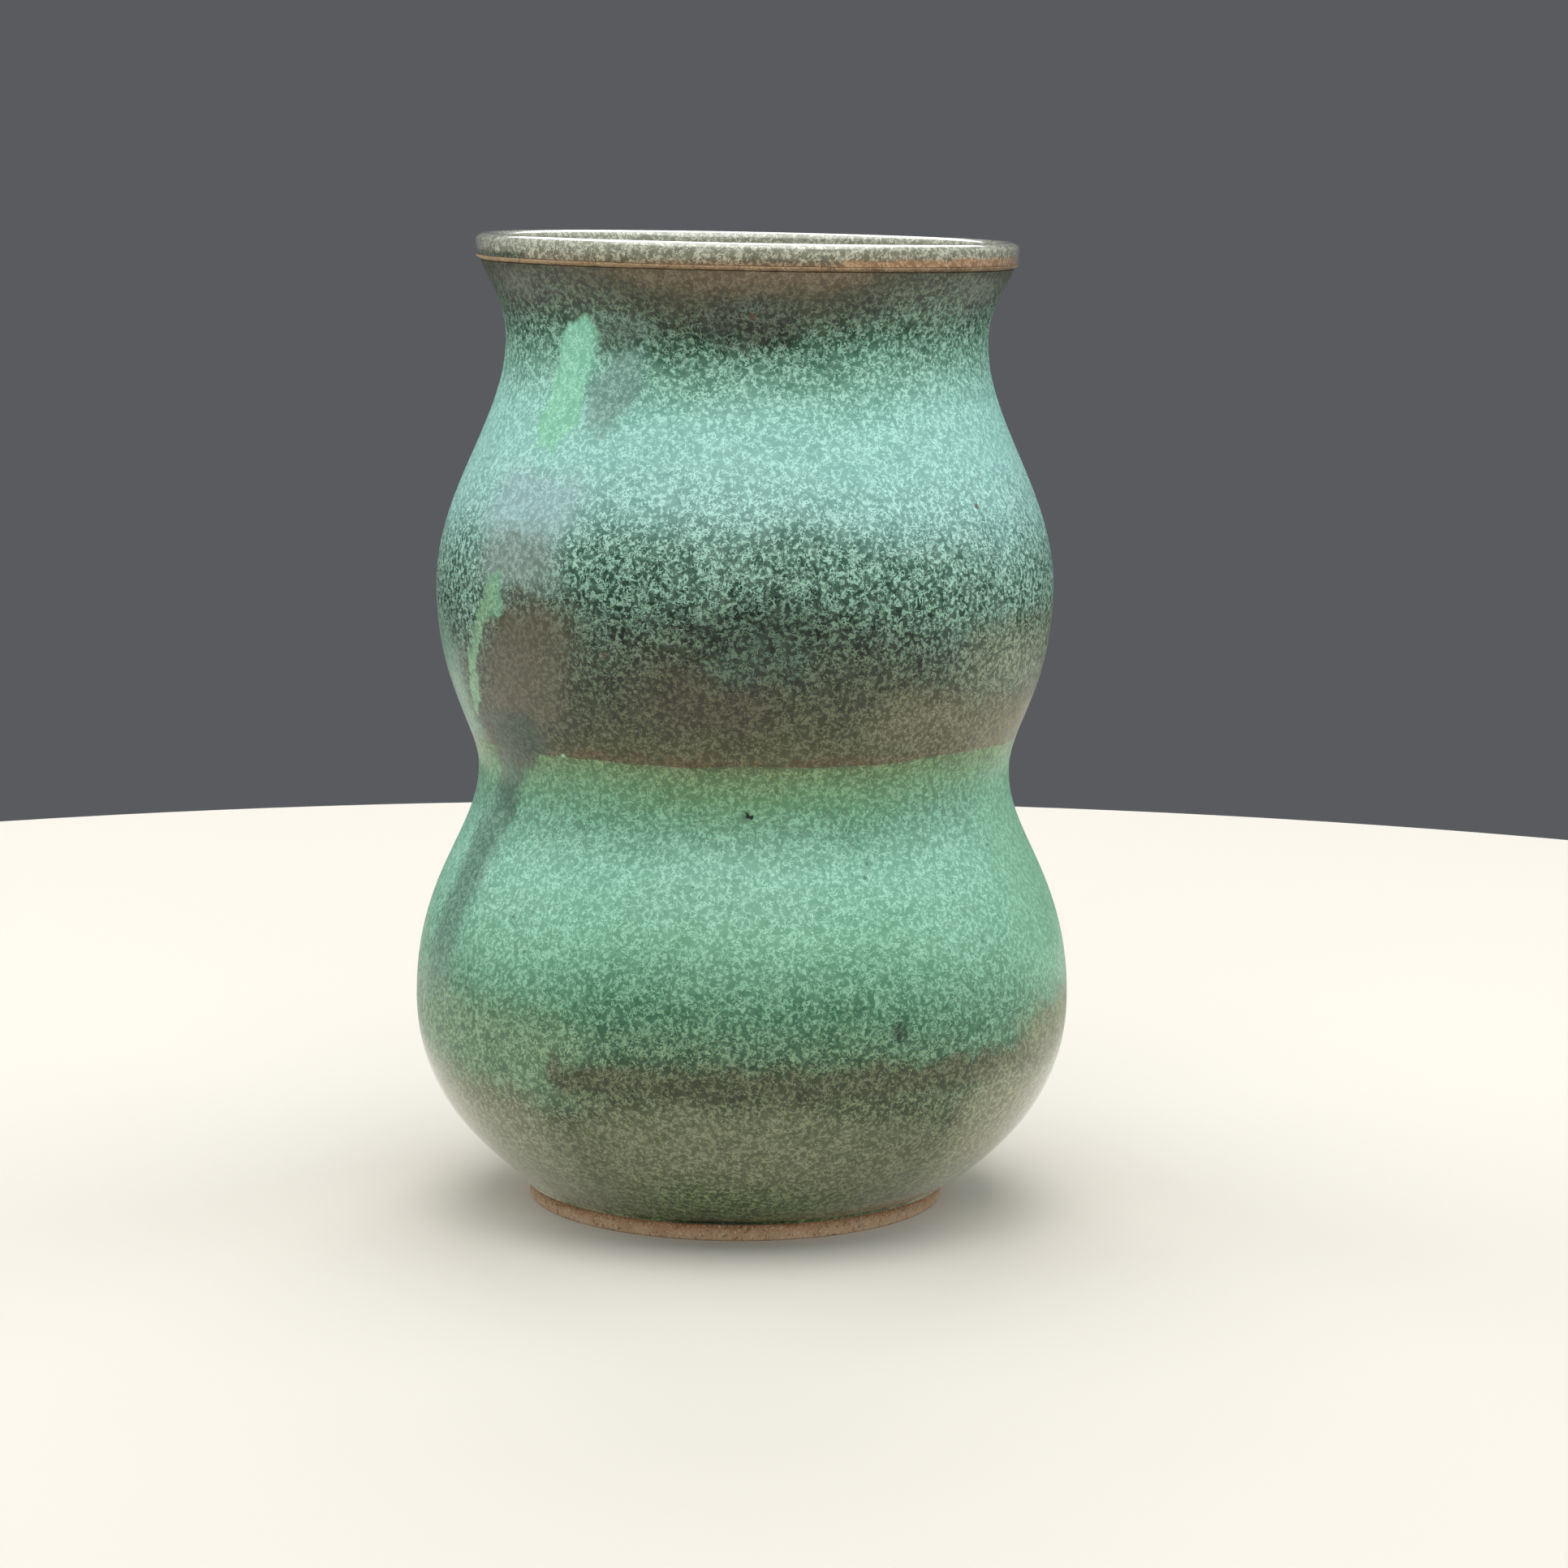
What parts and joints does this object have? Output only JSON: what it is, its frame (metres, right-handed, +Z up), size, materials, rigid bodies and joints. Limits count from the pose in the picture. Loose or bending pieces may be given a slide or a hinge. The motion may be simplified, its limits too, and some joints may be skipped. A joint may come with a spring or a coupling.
{
  "type": "stoneware vase",
  "caption": "Free-standing stoneware vase with a wide lower bulb, a waist, a smaller upper bulb and a flared, banded mouth, glazed outside and in over a bare foot ring.",
  "frame": {"origin": "centre of the plane that the foot ring rests on", "axes": "+Z up along the vase's turning axis; the vase is round, so X and Y are free, and -Y is the side that the glaze marks were laid out from"},
  "size_m": [0.1384, 0.1384, 0.203],
  "materials": {
    "bare_stoneware": "matte bare fired clay, buff with fine iron specks",
    "lower_dip_glaze": "satin glaze, pale seafoam above and mottled dark green below, with fine dark specks",
    "upper_dip_glaze": "satin glaze banded seafoam, dark green and brown, with fine worm-like crystals",
    "rim_glaze": "glossy thin coat, mottled tan and grey-green over the clay",
    "liner_glaze": "satin grey-green liner glaze"
  },
  "bodies": {
    "root": {"stoneware_body": "bare_stoneware", "lower_glaze": "lower_dip_glaze", "upper_glaze": "upper_dip_glaze", "rim_glaze": "rim_glaze", "liner_glaze": "liner_glaze"}
  },
  "joints": []
}
